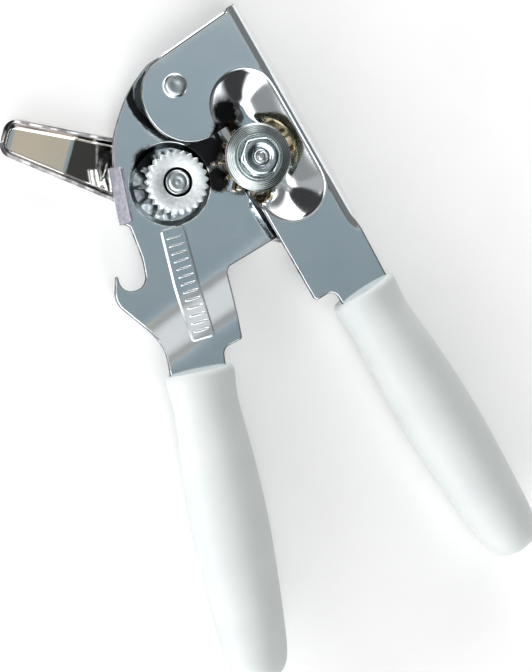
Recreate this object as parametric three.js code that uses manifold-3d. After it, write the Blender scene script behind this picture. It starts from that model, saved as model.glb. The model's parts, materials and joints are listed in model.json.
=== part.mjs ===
// Manual can opener: two pressed-steel handles riveted together, a geared cutter and a butterfly key.
// Millimetres, +Z up. The opener lies on its back: its plates are parallel to XY, its head points to +Y
// and the cutter faces +Z. While it is built, the handle rivet is on the Z axis and the lower plate's
// front face is z = 0. The finished group is shifted so that its box stands on the origin.
import * as THREE from 'three';
import { mergeVertices } from 'three/addons/utils/BufferGeometryUtils.js';
import Module from 'manifold-3d';

const wasm = await Module();
wasm.setup();

// ---- driving dimensions ----
const SHEET = 1.2;                  // thickness of both plates and of the key
const SLIVER = 0.005;               // edges left by a cut that are shorter than this are closed up
const STACK_GAP = 0.1;              // between faces stacked on one axis
const RUN_GAP = 0.15;               // radial, between a shaft and what turns on it
const LOWER_TILT = 12;              // degrees, each handle's own -Y away from the row's -Y, towards +X
const UPPER_TILT = 31;
const UPPER_FRONT = 6.2;            // height of the upper plate's front face
const GRIP_HEIGHT = 3.2;            // height of both grips' axes

const PIVOT_R = 2.6;                // handle rivet
const PIVOT_HEAD_R = 3.4;
const SPACER_R = 5;

const FEED_RADIUS = 26.2;           // rivet to drive shaft
const FEED_BEARING = -89.6;         // degrees from +X
const CUTTER_RADIUS = 29.5;         // rivet to cutter stud
const CUTTER_BEARING = -40.2;

const TEETH = 12;                   // both gears
const MODULE = 1.37;
const GEAR_TIP_R = 9.35;
const GEAR_ROOT_R = 6.7;
const TOOTH_SHARE = 0.34;           // of the pitch, at the pitch circle; the rest is backlash
const GEAR_BACK = 1.5;
const GEAR_FRONT = 4.5;

const SHAFT_R = 3;
const FEED_TEETH = 25;
const FEED_TIP_R = 8.9;
const FEED_ROOT_R = 7.8;
const FEED_FRONT = 9.05;
const FEED_BACK = 6;

const STUD_R = 2.6;
const STUD_THREAD_R = 2;
const SLEEVE_WALL = 0.7;            // of the sleeve that the cutter turns on
const CUTTER_R = 9.3;
const CUTTER_BACK = 9.2;            // the cutting edge lies in this plane, just in front of the feed wheel
const CUTTER_THICK = 0.8;
const NUT_FLATS = 10;
const NUT_THICK = 1.7;
const WASHER_R = 6.3;
const WASHER_THICK = 0.4;

const DISH_R = 11.2;                // dish of the lower plate round the drive shaft
const DISH_DEPTH = 1.6;
const BUSHING_BACK = -DISH_DEPTH - SHEET - 0.4;

const POCKET_X = 14.6;              // drawn pocket of the upper plate, in the upper handle's frame
const POCKET_TOP = -14.3;
const POCKET_END = -39.2;
const POCKET_R = 8.6;
const POCKET_FLOOR = 1.4;           // front of the pocket's floor
const POCKET_SHEET = 1;

const KEY_REACH = 47.5;             // butterfly key, hub to tip
const KEY_BEARING = 164.5;
const KEY_RIM = -3.6;
const KEY_BACK = -8.2;
const COLLAR_R = 5.6;               // collar and spring washer between the key and the lower plate

const GRIP_LENGTH = 87;
const GRIP_FLATNESS = 0.93;         // depth over width of the grip's section
const TANG_LENGTH = 52;
const SLOT_GAP = 0.35;

const rad = THREE.MathUtils.degToRad;

// ---- materials ----
const plateSteel = steel(0x98a4aa, 0.22);
const keyChrome = steel(0xc9c6bd, 0.12);
const zinc = steel(0xdfe9ea, 0.5);
const bronzeZinc = steel(0xa8905f, 0.35);
const groundSteel = steel(0xa3b0b5, 0.25);
const darkSteel = steel(0x6f777b, 0.4);
const whitePlastic = new THREE.MeshStandardMaterial({ color: 0xe2e6e6, roughness: 0.55, metalness: 0 });

function steel(color, roughness) {
  return new THREE.MeshStandardMaterial({ color, roughness, metalness: 1 });
}

// ---- geometry helpers ----

// Signed volume: negative where a closed mesh is inside out.
function volumeOf(geometry) {
  const position = geometry.getAttribute('position');
  const index = geometry.getIndex().array;
  const [a, b, c] = [new THREE.Vector3(), new THREE.Vector3(), new THREE.Vector3()];
  let sum = 0;
  for (let i = 0; i < index.length; i += 3) {
    a.fromBufferAttribute(position, index[i]);
    b.fromBufferAttribute(position, index[i + 1]);
    c.fromBufferAttribute(position, index[i + 2]);
    sum += a.dot(b.cross(c)) / 6;
  }
  return sum;
}

// A closed geometry as a solid that can be joined and cut.
function solid(geometry) {
  const bare = geometry.clone();
  bare.deleteAttribute('normal');
  bare.deleteAttribute('uv');
  const merged = mergeVertices(bare, 1e-4);
  const triVerts = Uint32Array.from(merged.getIndex().array);
  if (volumeOf(merged) < 0) triVerts.reverse();
  const vertProperties = Float32Array.from(merged.getAttribute('position').array);
  return new wasm.Manifold(new wasm.Mesh({ numProp: 3, vertProperties, triVerts }));
}

function meshOf(name, body, material) {
  const { vertProperties, triVerts } = body.simplify(SLIVER).getMesh();
  const geometry = new THREE.BufferGeometry();
  geometry.setAttribute('position', new THREE.BufferAttribute(vertProperties, 3));
  geometry.setIndex(new THREE.BufferAttribute(triVerts, 1));
  geometry.computeVertexNormals();
  const mesh = new THREE.Mesh(geometry, material);
  mesh.name = name;
  return mesh;
}

// Corners are [x, y, radius]; each one with a radius becomes a tangent arc.
function roundedPoints(corners, arcSteps = 8) {
  const points = [];
  corners.forEach(([x, y, radius = 0], i) => {
    const corner = new THREE.Vector2(x, y);
    if (!radius) {
      points.push(corner);
      return;
    }
    const [beforeX, beforeY] = corners.at(i - 1);
    const [afterX, afterY] = corners[(i + 1) % corners.length];
    const before = new THREE.Vector2(beforeX, beforeY).sub(corner).normalize();
    const after = new THREE.Vector2(afterX, afterY).sub(corner).normalize();
    const half = Math.acos(THREE.MathUtils.clamp(before.dot(after), -1, 1)) / 2;
    const centre = before.clone().add(after).normalize().multiplyScalar(radius / Math.sin(half)).add(corner);
    const reach = radius / Math.tan(half);
    const start = before.multiplyScalar(reach).add(corner).sub(centre);
    const end = after.multiplyScalar(reach).add(corner).sub(centre);
    const turn = Math.atan2(start.cross(end), start.dot(end));
    for (let k = 0; k <= arcSteps; k++) {
      const point = start.clone().rotateAround(new THREE.Vector2(), turn * k / arcSteps);
      points.push(point.add(centre));
    }
  });
  return points;
}

function extruded(points, depth) {
  return new THREE.ExtrudeGeometry(new THREE.Shape(points), { depth, bevelEnabled: false });
}

// A prism between two heights, from an outline.
function prism(points, bottom, top) {
  return solid(extruded(points, top - bottom).translate(0, 0, bottom));
}

// A body of revolution about Z from a closed [radius, height] profile.
function turned(profile, segments = 48) {
  const ring = [...profile, profile[0]].map(([r, z]) => new THREE.Vector2(r, z));
  return solid(new THREE.LatheGeometry(ring, segments).rotateX(Math.PI / 2));
}

function tube(inner, outer, bottom, top, segments = 48) {
  return turned([[inner, bottom], [outer, bottom], [outer, top], [inner, top]], segments);
}

function rod(radius, bottom, top, segments = 48) {
  return solid(new THREE.CylinderGeometry(radius, radius, top - bottom, segments)
    .rotateX(Math.PI / 2).translate(0, 0, (top + bottom) / 2));
}

function box(low, high) {
  const size = high.map((value, axis) => value - low[axis]);
  const centre = high.map((value, axis) => (value + low[axis]) / 2);
  return solid(new THREE.BoxGeometry(...size).translate(...centre));
}

// A closed skin over convex rings that all have the same number of points.
function loft(rings) {
  const count = rings[0].length;
  const positions = rings.flat().flatMap((point) => point.toArray());
  const index = [];
  for (let ring = 0; ring + 1 < rings.length; ring++) {
    for (let k = 0; k < count; k++) {
      const [a, b] = [ring * count + k, ring * count + (k + 1) % count];
      index.push(a, b, a + count, b, b + count, a + count);
    }
  }
  const last = (rings.length - 1) * count;
  for (let k = 1; k + 1 < count; k++) {
    index.push(0, k + 1, k, last, last + k, last + k + 1);
  }
  const geometry = new THREE.BufferGeometry();
  geometry.setAttribute('position', new THREE.Float32BufferAttribute(positions, 3));
  geometry.setIndex(index);
  return solid(geometry);
}

function flatRing(points, height) {
  return points.map(({ x, y }) => new THREE.Vector3(x, y, height));
}

function polar(radius, bearing) {
  return [radius * Math.cos(rad(bearing)), radius * Math.sin(rad(bearing))];
}

// ---- gear train ----

// The handles close until the gears' pitch circles touch.
const sideProduct = 2 * FEED_RADIUS * CUTTER_RADIUS;
const closedDistance = TEETH * MODULE;
const closedCosine = (FEED_RADIUS ** 2 + CUTTER_RADIUS ** 2 - closedDistance ** 2) / sideProduct;
const closedSpread = THREE.MathUtils.radToDeg(Math.acos(closedCosine));
const closingAngle = CUTTER_BEARING - FEED_BEARING - closedSpread;
const feedCentre = new THREE.Vector2(...polar(FEED_RADIUS, FEED_BEARING));
const cutterCentre = new THREE.Vector2(...polar(CUTTER_RADIUS, CUTTER_BEARING));
const closedCutter = new THREE.Vector2(...polar(CUTTER_RADIUS, CUTTER_BEARING - closingAngle));
const meshBearing = closedCutter.sub(feedCentre).angle();

// Straight-flanked teeth, the first one centred on the given bearing in radians.
function gearPoints(bearing) {
  const pitch = 2 * Math.PI / TEETH;
  const pitchHalf = TOOTH_SHARE * pitch / 2;
  const flank = [[GEAR_ROOT_R, 1.45], [GEAR_TIP_R, 0.55]];
  const points = [];
  for (let tooth = 0; tooth < TEETH; tooth++) {
    const middle = bearing + tooth * pitch;
    for (const [radius, share] of flank) {
      points.push(atBearing(radius, middle - share * pitchHalf));
    }
    for (const [radius, share] of flank.toReversed()) {
      points.push(atBearing(radius, middle + share * pitchHalf));
    }
  }
  return points;
}

function atBearing(radius, bearing) {
  return new THREE.Vector2(radius * Math.cos(bearing), radius * Math.sin(bearing));
}

function gear(name, bearing, bore, hubRadius, hubBottom, hubTop) {
  const body = prism(gearPoints(bearing), GEAR_BACK, GEAR_FRONT)
    .add(rod(hubRadius, hubBottom, hubTop))
    .subtract(rod(bore, hubBottom - 1, hubTop + 1));
  return meshOf(name, body, bronzeZinc);
}

// ---- lower handle, in its own frame: rivet at the origin, handle along -Y ----

const LOWER_GRIP_X = -8.7;
const LOWER_GRIP_Y = -76.7;
const JOGGLE_RISE = 2.4;            // the tang stands forward of the head by this much
const JOGGLE_SKEW = 24;             // degrees between the joggle's bend lines and X
const JOGGLE_TOP = -51;             // bend lines, measured square to them from the tang's centre line
const JOGGLE_END = -64;
const SHEET_RUN = 90;               // along the bend lines, wider than the plate
const TAB_TOP = -18.3;
const TAB_BOTTOM = -33.4;
const TAB_HEIGHT = 5;

function lowerPlate() {
  const shaft = feedCentre.clone().rotateAround(new THREE.Vector2(), -rad(LOWER_TILT));
  const outline = roundedPoints([
    [-3.5, 8.6, 10], [-12.2, 0.6, 28], [-18.6, -10, 20], [-20.4, TAB_TOP], [-20.9, TAB_BOTTOM, 0.6],
    [-18.8, -34.5, 0.8], [-17, -44, 20],                          // waist above the bottle-opener hook
    [-17.2, -52.1, 3.6], [-24.5, -52.1, 3.3], [-24.7, -47.6],     // the hook's notch
    [-25.3, -47.2, 0.3], [-27.1, -54.2, 6],                       // the hook's beak
    [-16.3, -67.3, 14], [-16.6, -77], [-14.2, LOWER_GRIP_Y - TANG_LENGTH, 2],
    [-3.2, LOWER_GRIP_Y - TANG_LENGTH, 2], [-0.7, -77], [-0.4, -72.4, 3.2], [5.4, -71, 1],
    [5.6, -51.2, 2.2], [27, -43.9, 3], [10.5, -12, 12], [9, 8.9, 8],
  ]);
  const side = roundedPoints([
    [40, 0], [JOGGLE_TOP, 0, 14], [JOGGLE_END, JOGGLE_RISE, 14], [-140, JOGGLE_RISE],
    [-140, JOGGLE_RISE - SHEET], [JOGGLE_END, JOGGLE_RISE - SHEET, 14], [JOGGLE_TOP, -SHEET, 14],
    [40, -SHEET],
  ], 5);
  const sheet = solid(extruded(side, SHEET_RUN).translate(0, 0, -SHEET_RUN / 2)
    .rotateX(Math.PI / 2).rotateZ(Math.PI / 2 + rad(JOGGLE_SKEW)).translate(LOWER_GRIP_X, 0, 0));
  const floor = -DISH_DEPTH;
  const dishOuter = turned([
    [0, floor - SHEET], [DISH_R - 0.5, floor - SHEET], [DISH_R + 0.6, -SHEET + 0.3], [0, -SHEET + 0.3],
  ]);
  const dishInner = turned([
    [0, floor], [DISH_R - 1.5, floor], [DISH_R - 0.7, -0.8], [DISH_R, 0.2], [0, 0.2],
  ]);
  const bearingHole = rod(SHAFT_R + 1, -6, 2);
  const inDish = (body) => body.translate([shaft.x, shaft.y, 0]);
  return sheet.intersect(prism(outline, -4, 6))
    .add(inDish(dishOuter)).subtract(inDish(dishInner)).subtract(inDish(bearingHole))
    .add(rimTab()).subtract(rod(PIVOT_R + RUN_GAP, -6, 2));
}

// The tab that guides the can's rim: bent forward from the plate's edge, leaning over the feed wheel.
function rimTab() {
  const bend = [[-20.9, -SHEET], [-19.6, -SHEET], [-19.3, -0.3], [-16.9, TAB_HEIGHT - 0.5], [-18, TAB_HEIGHT],
    [-20.7, -0.2]].map(([x, z]) => new THREE.Vector2(x, z));
  const length = TAB_TOP - TAB_BOTTOM - 0.6;
  return solid(extruded(bend, length).rotateX(Math.PI / 2).translate(0, TAB_TOP - 0.1, 0));
}

// Half-width along the grip: a lip at the collar, a waist, the belly and the rounded butt.
const GRIP_PROFILE = [[0, 9.2], [0.8, 9.8], [3, 9.7], [8, 8.95], [15, 9.3], [24, 10], [38, 10.6], [52, 10.4],
  [66, 9.6], [78, 8.8], [83.5, 7.6], [86, 5.6], [GRIP_LENGTH, 3]];

// The grip's collar is at its own origin and the grip runs along -Y, with a slot for the plate's tang.
function grip(name, slotHeight, tangWidths) {
  const sides = 28;
  const rings = GRIP_PROFILE.map(([along, half]) => Array.from({ length: sides }, (_, k) => {
    const angle = 2 * Math.PI * k / sides;
    return new THREE.Vector3(half * Math.cos(angle), -along, half * GRIP_FLATNESS * Math.sin(angle));
  }));
  const [mouth, end] = tangWidths.map((width) => width / 2 + SLOT_GAP);
  const [bottom, top] = [slotHeight - SHEET - SLOT_GAP, slotHeight + SLOT_GAP];
  const slot = [[-mouth, 1], [mouth, 1], [end, -TANG_LENGTH - 1], [-end, -TANG_LENGTH - 1]]
    .map(([x, y]) => new THREE.Vector2(x, y));
  return meshOf(name, loft(rings).subtract(prism(slot, bottom, top)), whitePlastic);
}

function pivotRivet() {
  const back = -SHEET - STACK_GAP;
  const front = UPPER_FRONT + STACK_GAP;
  return turned([
    [0, back - 1], [PIVOT_HEAD_R - 0.4, back - 1], [PIVOT_HEAD_R + 0.1, back],     // upset end
    [PIVOT_R, back], [PIVOT_R, front],
    [PIVOT_HEAD_R, front], [PIVOT_HEAD_R, front + 0.4], [2.6, front + 0.85],       // domed head
    [1.2, front + 0.95], [0, front + 0.8],
  ]);
}

function shaftBushing() {
  const floor = -DISH_DEPTH + STACK_GAP;
  const inner = SHAFT_R + RUN_GAP;
  const outer = SHAFT_R + 1 - STACK_GAP;
  const [flange, front] = [5.4, floor + 0.9];
  return turned([
    [inner, BUSHING_BACK], [outer, BUSHING_BACK], [outer, floor], [flange, floor], [flange, front],
    [inner, front],
  ]);
}

function lowerHandle() {
  const handle = new THREE.Group();
  handle.rotation.z = rad(LOWER_TILT);
  const lowerGrip = grip('lower_grip', JOGGLE_RISE - GRIP_HEIGHT, [16.4, 11.4]);
  lowerGrip.position.set(LOWER_GRIP_X, LOWER_GRIP_Y, GRIP_HEIGHT);
  const bushing = meshOf('shaft_bushing', shaftBushing(), darkSteel);
  const shaft = feedCentre.clone().rotateAround(new THREE.Vector2(), -handle.rotation.z);
  bushing.position.set(shaft.x, shaft.y, 0);
  const spacer = tube(PIVOT_R + RUN_GAP, SPACER_R, STACK_GAP, UPPER_FRONT - SHEET - STACK_GAP);
  handle.add(
    meshOf('lower_plate', lowerPlate(), plateSteel), lowerGrip, bushing,
    meshOf('pivot_rivet', pivotRivet(), groundSteel), meshOf('pivot_spacer', spacer, darkSteel),
  );
  return handle;
}

// ---- upper handle, in its own frame: rivet at the origin, handle along -Y ----

const EDGE_X = 26.9;                // outside of the rolled long edge
const EDGE_BEND_R = 3.5;
const EDGE_TOP = 11;
const EDGE_BOTTOM = -54.3;
const EDGE_DEPTH = -2;              // height of the rolled edge's lip
const HEAD_EDGE_SLOPE = 4.4;        // degrees, the head's top edge against X
const HEAD_EDGE_Y = 9;              // outside of the small flange along that edge, at x = 0
const HEAD_EDGE_LIP = 3.2;          // height of the flange's lip
const MOUTH_TOP = -16.9;            // the pocket is open towards the feed wheel between these
const MOUTH_BOTTOM = -34.8;
const UPPER_GRIP_X = 18.1;
const UPPER_GRIP_Y = -74.6;
const UPPER_GRIP_LEAN = 1.9;

function obround(radius) {
  const half = 12;
  const points = [];
  for (const [centreY, start] of [[POCKET_TOP, 0], [POCKET_END, Math.PI]]) {
    for (let k = 0; k <= half; k++) {
      points.push(atBearing(radius, start + Math.PI * k / half).add(new THREE.Vector2(POCKET_X, centreY)));
    }
  }
  return points;
}

// A body with the pocket's outline, from [radius, height] pairs.
function pocketLoft(steps) {
  return loft(steps.map(([radius, height]) => flatRing(obround(radius), height)));
}

function rolledEdge() {
  const back = UPPER_FRONT - SHEET;
  const bend = EDGE_X - EDGE_BEND_R;
  const section = roundedPoints([
    [bend - 0.3, UPPER_FRONT], [EDGE_X, UPPER_FRONT, EDGE_BEND_R], [EDGE_X, EDGE_DEPTH],
    [EDGE_X - SHEET, EDGE_DEPTH], [EDGE_X - SHEET, back, EDGE_BEND_R - SHEET], [bend - 0.3, back],
  ]);
  return solid(extruded(section, EDGE_TOP - EDGE_BOTTOM).rotateX(Math.PI / 2).translate(0, EDGE_TOP, 0));
}

function upperPlate(stud) {
  const back = UPPER_FRONT - SHEET;
  const bend = EDGE_X - EDGE_BEND_R;
  const tangEnd = UPPER_GRIP_Y - TANG_LENGTH;
  const outline = roundedPoints([
    [bend, EDGE_TOP], [-10.7, 8.4, 12.6], [-10.7, -16.7, 12.9], [4.3, -16.7],         // head and lobe
    [4.3, -70.3, 1.2], [10.5, -70.3, 3], [10.6, -76], [14, tangEnd, 2], [25.6, tangEnd, 2], [25.6, -76],
    [26.1, -57], [26, EDGE_BOTTOM + 0.4], [bend, EDGE_BOTTOM + 0.4],
  ]);
  const cavity = pocketLoft([[POCKET_R + 0.3, 7], [POCKET_R, UPPER_FRONT - 0.2], [8, 5.2], [7.3, 2.6],
    [6.3, POCKET_FLOOR]]);
  const shell = pocketLoft([[9.3, UPPER_FRONT - 0.5], [8.9, 4.4], [8.3, 2.4], [7.8, 1.2],
    [6.8, POCKET_FLOOR - POCKET_SHEET]]);
  const mouth = box([3.2, MOUTH_BOTTOM, POCKET_FLOOR + 0.1], [7.6, MOUTH_TOP, UPPER_FRONT + 1]);
  const gearRoom = rod(GEAR_TIP_R + 0.5, POCKET_FLOOR - 0.2, back - 0.2, 64).translate([stud.x, stud.y, 0]);
  const headFlange = box([-1, -SHEET, HEAD_EDGE_LIP], [bend - 0.8, 0, back + 0.5])
    .rotate([0, 0, HEAD_EDGE_SLOPE]).translate([0, HEAD_EDGE_Y, 0]);
  return prism(outline, back, UPPER_FRONT).add(rolledEdge()).add(shell).add(headFlange)
    .subtract(cavity).subtract(mouth).subtract(gearRoom)
    .subtract(rod(STUD_THREAD_R + STACK_GAP, -1, POCKET_FLOOR + 1).translate([stud.x, stud.y, 0]))
    .subtract(rod(PIVOT_R + RUN_GAP, 0, UPPER_FRONT + 1));
}

function cutterStud() {
  const seat = POCKET_FLOOR + STACK_GAP;
  const shoulder = CUTTER_BACK + CUTTER_THICK + STACK_GAP / 2;
  const end = shoulder + WASHER_THICK + NUT_THICK + 0.6;
  return turned([
    [0, POCKET_FLOOR - POCKET_SHEET + STACK_GAP], [STUD_THREAD_R, POCKET_FLOOR - POCKET_SHEET + STACK_GAP],
    [STUD_THREAD_R, seat], [STUD_R, seat], [STUD_R, shoulder], [STUD_THREAD_R, shoulder],
    [STUD_THREAD_R, end - 0.4], [STUD_THREAD_R - 0.4, end], [0, end],
  ]);
}

function cutterNut(bottom) {
  const corner = NUT_FLATS / Math.sqrt(3);
  const bore = STUD_THREAD_R + STACK_GAP;
  const hexagon = solid(new THREE.CylinderGeometry(corner, corner, NUT_THICK, 6)
    .rotateX(Math.PI / 2).rotateZ(rad(10)).translate(0, 0, bottom + NUT_THICK / 2));
  const chamfer = turned([
    [bore, bottom - 1], [corner + 1, bottom - 1], [corner + 1, bottom + NUT_THICK - 0.9],
    [corner - 0.9, bottom + NUT_THICK + 0.1], [bore, bottom + NUT_THICK + 0.1],
  ]);
  return hexagon.intersect(chamfer);
}

function cutterWheel() {
  const bore = STUD_R + 2 * RUN_GAP + SLEEVE_WALL;
  const [hub, hubBack] = [5.6, 7.6];
  const front = CUTTER_BACK + CUTTER_THICK;
  return turned([
    [bore, hubBack], [hub, hubBack], [hub, CUTTER_BACK], [CUTTER_R, CUTTER_BACK],
    [CUTTER_R, CUTTER_BACK + 0.08], [6.9, front], [bore, front],                    // edge and bevel
  ], 64);
}

// The disc and the gear behind it, on the sleeve that turns on the stud.
function cutterAssembly(handleTurn) {
  const group = new THREE.Group();
  const sleeveInner = STUD_R + RUN_GAP;
  const sleeveOuter = sleeveInner + SLEEVE_WALL;
  const shoulder = CUTTER_BACK + CUTTER_THICK;
  const halfPitch = Math.PI / TEETH;
  const bearing = meshBearing + Math.PI + halfPitch + rad(closingAngle) - handleTurn;
  group.add(
    gear('cutter_gear', bearing, sleeveOuter + RUN_GAP, 5.2, GEAR_BACK, 7.5),
    meshOf('cutter_bushing', tube(sleeveInner, sleeveOuter, GEAR_BACK, shoulder), darkSteel),
    meshOf('cutter_wheel', cutterWheel(), groundSteel),
  );
  return group;
}

function upperHandle() {
  const handle = new THREE.Group();
  handle.rotation.z = rad(UPPER_TILT);
  const stud = cutterCentre.clone().rotateAround(new THREE.Vector2(), -handle.rotation.z);
  const upperGrip = grip('upper_grip', UPPER_FRONT - GRIP_HEIGHT, [15.6, 12.2]);
  upperGrip.position.set(UPPER_GRIP_X, UPPER_GRIP_Y, GRIP_HEIGHT);
  upperGrip.rotation.z = rad(UPPER_GRIP_LEAN);
  const onStud = new THREE.Group();
  onStud.position.set(stud.x, stud.y, 0);
  const washerBack = CUTTER_BACK + CUTTER_THICK + STACK_GAP;
  const nutBack = washerBack + WASHER_THICK + STACK_GAP;
  const washer = tube(STUD_R + STACK_GAP, WASHER_R, washerBack, washerBack + WASHER_THICK);
  onStud.add(
    meshOf('cutter_stud', cutterStud(), groundSteel), cutterAssembly(handle.rotation.z),
    meshOf('cutter_washer', washer, groundSteel), meshOf('cutter_nut', cutterNut(nutBack), groundSteel),
  );
  handle.add(meshOf('upper_plate', upperPlate(stud), plateSteel), upperGrip, onStud);
  return handle;
}

// ---- crank: key, shaft, drive gear and feed wheel turn together ----

function keyOutline(inset) {
  const [tip, hub] = [5.3 - inset, 10.1 - inset];
  const reach = KEY_REACH - inset;
  const round = 4 - inset;
  return roundedPoints([[reach, tip, round], [0, hub, 12], [-reach, tip, round], [-reach, -tip, round],
    [0, -hub, 12], [reach, -tip, round]]);
}

function crankKey() {
  const floor = KEY_BACK + SHEET;
  const outer = loft([flatRing(keyOutline(0), KEY_RIM), flatRing(keyOutline(0.3), -5.6),
    flatRing(keyOutline(0.8), -7.4), flatRing(keyOutline(1.7), KEY_BACK)]);
  const inner = loft([flatRing(keyOutline(SHEET), KEY_RIM + 1), flatRing(keyOutline(SHEET), KEY_RIM),
    flatRing(keyOutline(SHEET + 0.4), -5.6), flatRing(keyOutline(SHEET + 1.6), floor)]);
  return outer.subtract(inner).subtract(rod(SHAFT_R + STACK_GAP, KEY_BACK - 1, KEY_RIM));
}

function feedWheelPoints() {
  const points = [];
  const pitch = 2 * Math.PI / FEED_TEETH;
  for (let tooth = 0; tooth < FEED_TEETH; tooth++) {
    const start = tooth * pitch;
    points.push(atBearing(FEED_ROOT_R, start), atBearing(FEED_TIP_R, start + 0.35 * pitch));
    points.push(atBearing(FEED_TIP_R, start + 0.65 * pitch));
  }
  return points;
}

function feedWheel() {
  const bore = SHAFT_R + STACK_GAP;
  const countersink = turned([[0, FEED_BACK], [bore, FEED_BACK], [bore, FEED_FRONT - 0.8],
    [SHAFT_R + 1, FEED_FRONT + 0.1], [0, FEED_FRONT + 0.1]]);
  const back = GEAR_FRONT + STACK_GAP;
  return prism(feedWheelPoints(), FEED_BACK, FEED_FRONT).add(rod(6.2, back, FEED_BACK + 0.5))
    .subtract(rod(bore, back - 1, FEED_BACK + 1)).subtract(countersink);
}

function springWasher(bottom, height) {
  const inner = SHAFT_R + RUN_GAP;
  const top = bottom + height;
  return turned([[COLLAR_R, bottom], [inner, top - 0.5], [inner, top], [COLLAR_R, bottom + 0.5]]);
}

function crank() {
  const group = new THREE.Group();
  group.position.set(feedCentre.x, feedCentre.y, 0);
  const key = meshOf('crank_key', crankKey(), keyChrome);
  key.rotation.z = rad(KEY_BEARING);
  const bore = SHAFT_R + RUN_GAP;
  const washerBack = BUSHING_BACK - STACK_GAP - 0.5;
  const springBack = washerBack - STACK_GAP - 1;
  const collar = tube(bore, COLLAR_R, KEY_BACK + SHEET + STACK_GAP, springBack - STACK_GAP);
  group.add(
    key,
    meshOf('drive_shaft', rod(SHAFT_R, KEY_BACK + 0.05, FEED_FRONT), groundSteel),
    gear('drive_gear', meshBearing, bore, 5, -0.5, GEAR_FRONT),
    meshOf('feed_wheel', feedWheel(), zinc),
    meshOf('crank_washer', tube(bore, 6, washerBack, washerBack + 0.5), darkSteel),
    meshOf('spring_washer', springWasher(springBack, 1), darkSteel),
    meshOf('crank_collar', collar, darkSteel),
  );
  return group;
}

// ---- assembly ----

const opener = new THREE.Group();
opener.add(lowerHandle(), upperHandle(), crank());
opener.updateMatrixWorld(true);
const bounds = new THREE.Box3().setFromObject(opener, true);
opener.position.set(-(bounds.min.x + bounds.max.x) / 2, -(bounds.min.y + bounds.max.y) / 2, -bounds.min.z);

export default opener;
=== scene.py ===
import json
import math

import bpy
import numpy as np
from mathutils import Matrix, Vector
from mathutils.geometry import delaunay_2d_cdt


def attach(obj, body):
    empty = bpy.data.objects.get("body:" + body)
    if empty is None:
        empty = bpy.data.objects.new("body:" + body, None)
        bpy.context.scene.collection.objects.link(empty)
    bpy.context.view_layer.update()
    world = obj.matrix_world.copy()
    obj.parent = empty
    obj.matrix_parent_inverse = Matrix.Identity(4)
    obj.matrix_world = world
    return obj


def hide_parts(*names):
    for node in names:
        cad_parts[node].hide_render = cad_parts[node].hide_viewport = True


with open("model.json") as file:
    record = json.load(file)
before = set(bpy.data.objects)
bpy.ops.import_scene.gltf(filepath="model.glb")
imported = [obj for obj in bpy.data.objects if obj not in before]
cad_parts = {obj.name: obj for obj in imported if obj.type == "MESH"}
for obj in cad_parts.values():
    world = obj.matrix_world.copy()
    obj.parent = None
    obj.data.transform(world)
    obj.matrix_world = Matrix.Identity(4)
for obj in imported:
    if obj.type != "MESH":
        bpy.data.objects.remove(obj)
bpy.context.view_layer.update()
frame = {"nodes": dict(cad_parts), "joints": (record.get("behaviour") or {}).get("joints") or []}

# A manual can opener lying on its back on a pale floor. Shapes are written in millimetres in the frame of
# the handle or wheel that they belong to: the handle's rivet or the wheel's axis at the origin, z = 0 on the
# front face of the lower plate.

# ---- frames ----
MM = 0.001
LOWER_TILT = 12
UPPER_TILT = 31
KEY_BEARING = 164.5

joint_at = {joint["name"]: Vector(joint["pos_m"]) for joint in frame["joints"]}
PIVOT = joint_at["handle_pivot"]
FEED = joint_at["crank_spin"]
CUTTER = joint_at["cutter_spin"]


def placed(origin, degrees=0.0):
    return Matrix.Translation(origin) @ Matrix.Rotation(math.radians(degrees), 4, "Z")


LOWER = placed(PIVOT, LOWER_TILT)
UPPER = placed(PIVOT, UPPER_TILT)
KEY = placed(FEED, KEY_BEARING)
WHEEL = placed(FEED)
STUD = placed(CUTTER, UPPER_TILT)


def local_xy(point, handle):
    """A point of the whole opener's frame, given in metres, in a handle's own frame in millimetres."""
    local = handle.inverted() @ point
    return local.x / MM, local.y / MM


# ---- main dimensions ----
SHEET = 1.2
EDGE_ROUND = 0.22                   # rounding of a sheet's cut edges
EASED = 0.03                        # how far below the face the rounding counts as cut edge
UPPER_FRONT = 6.2
BEND_X = 23.4                       # where the upper plate's long edge starts to roll back
BEND_R = 3.5
EDGE_FLAT = 4.7                     # straight part of the rolled edge, below the bend
EDGE_TOP = 11
EDGE_BOTTOM = -54.3
HEAD_SLOPE = 4.4
HEAD_FOLD_R = 1.2
HEAD_FOLD_Y = 7.8                   # where the head's flange starts to fold, at x = 0
POCKET_X = 14.6
POCKET_TOP = -14.3
POCKET_END = -39.2
DISH_DEPTH = 1.6
GRIP_HEIGHT = 3.2
GRIP_FLATNESS = 0.93


# ---- outlines in the plane ----

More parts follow.
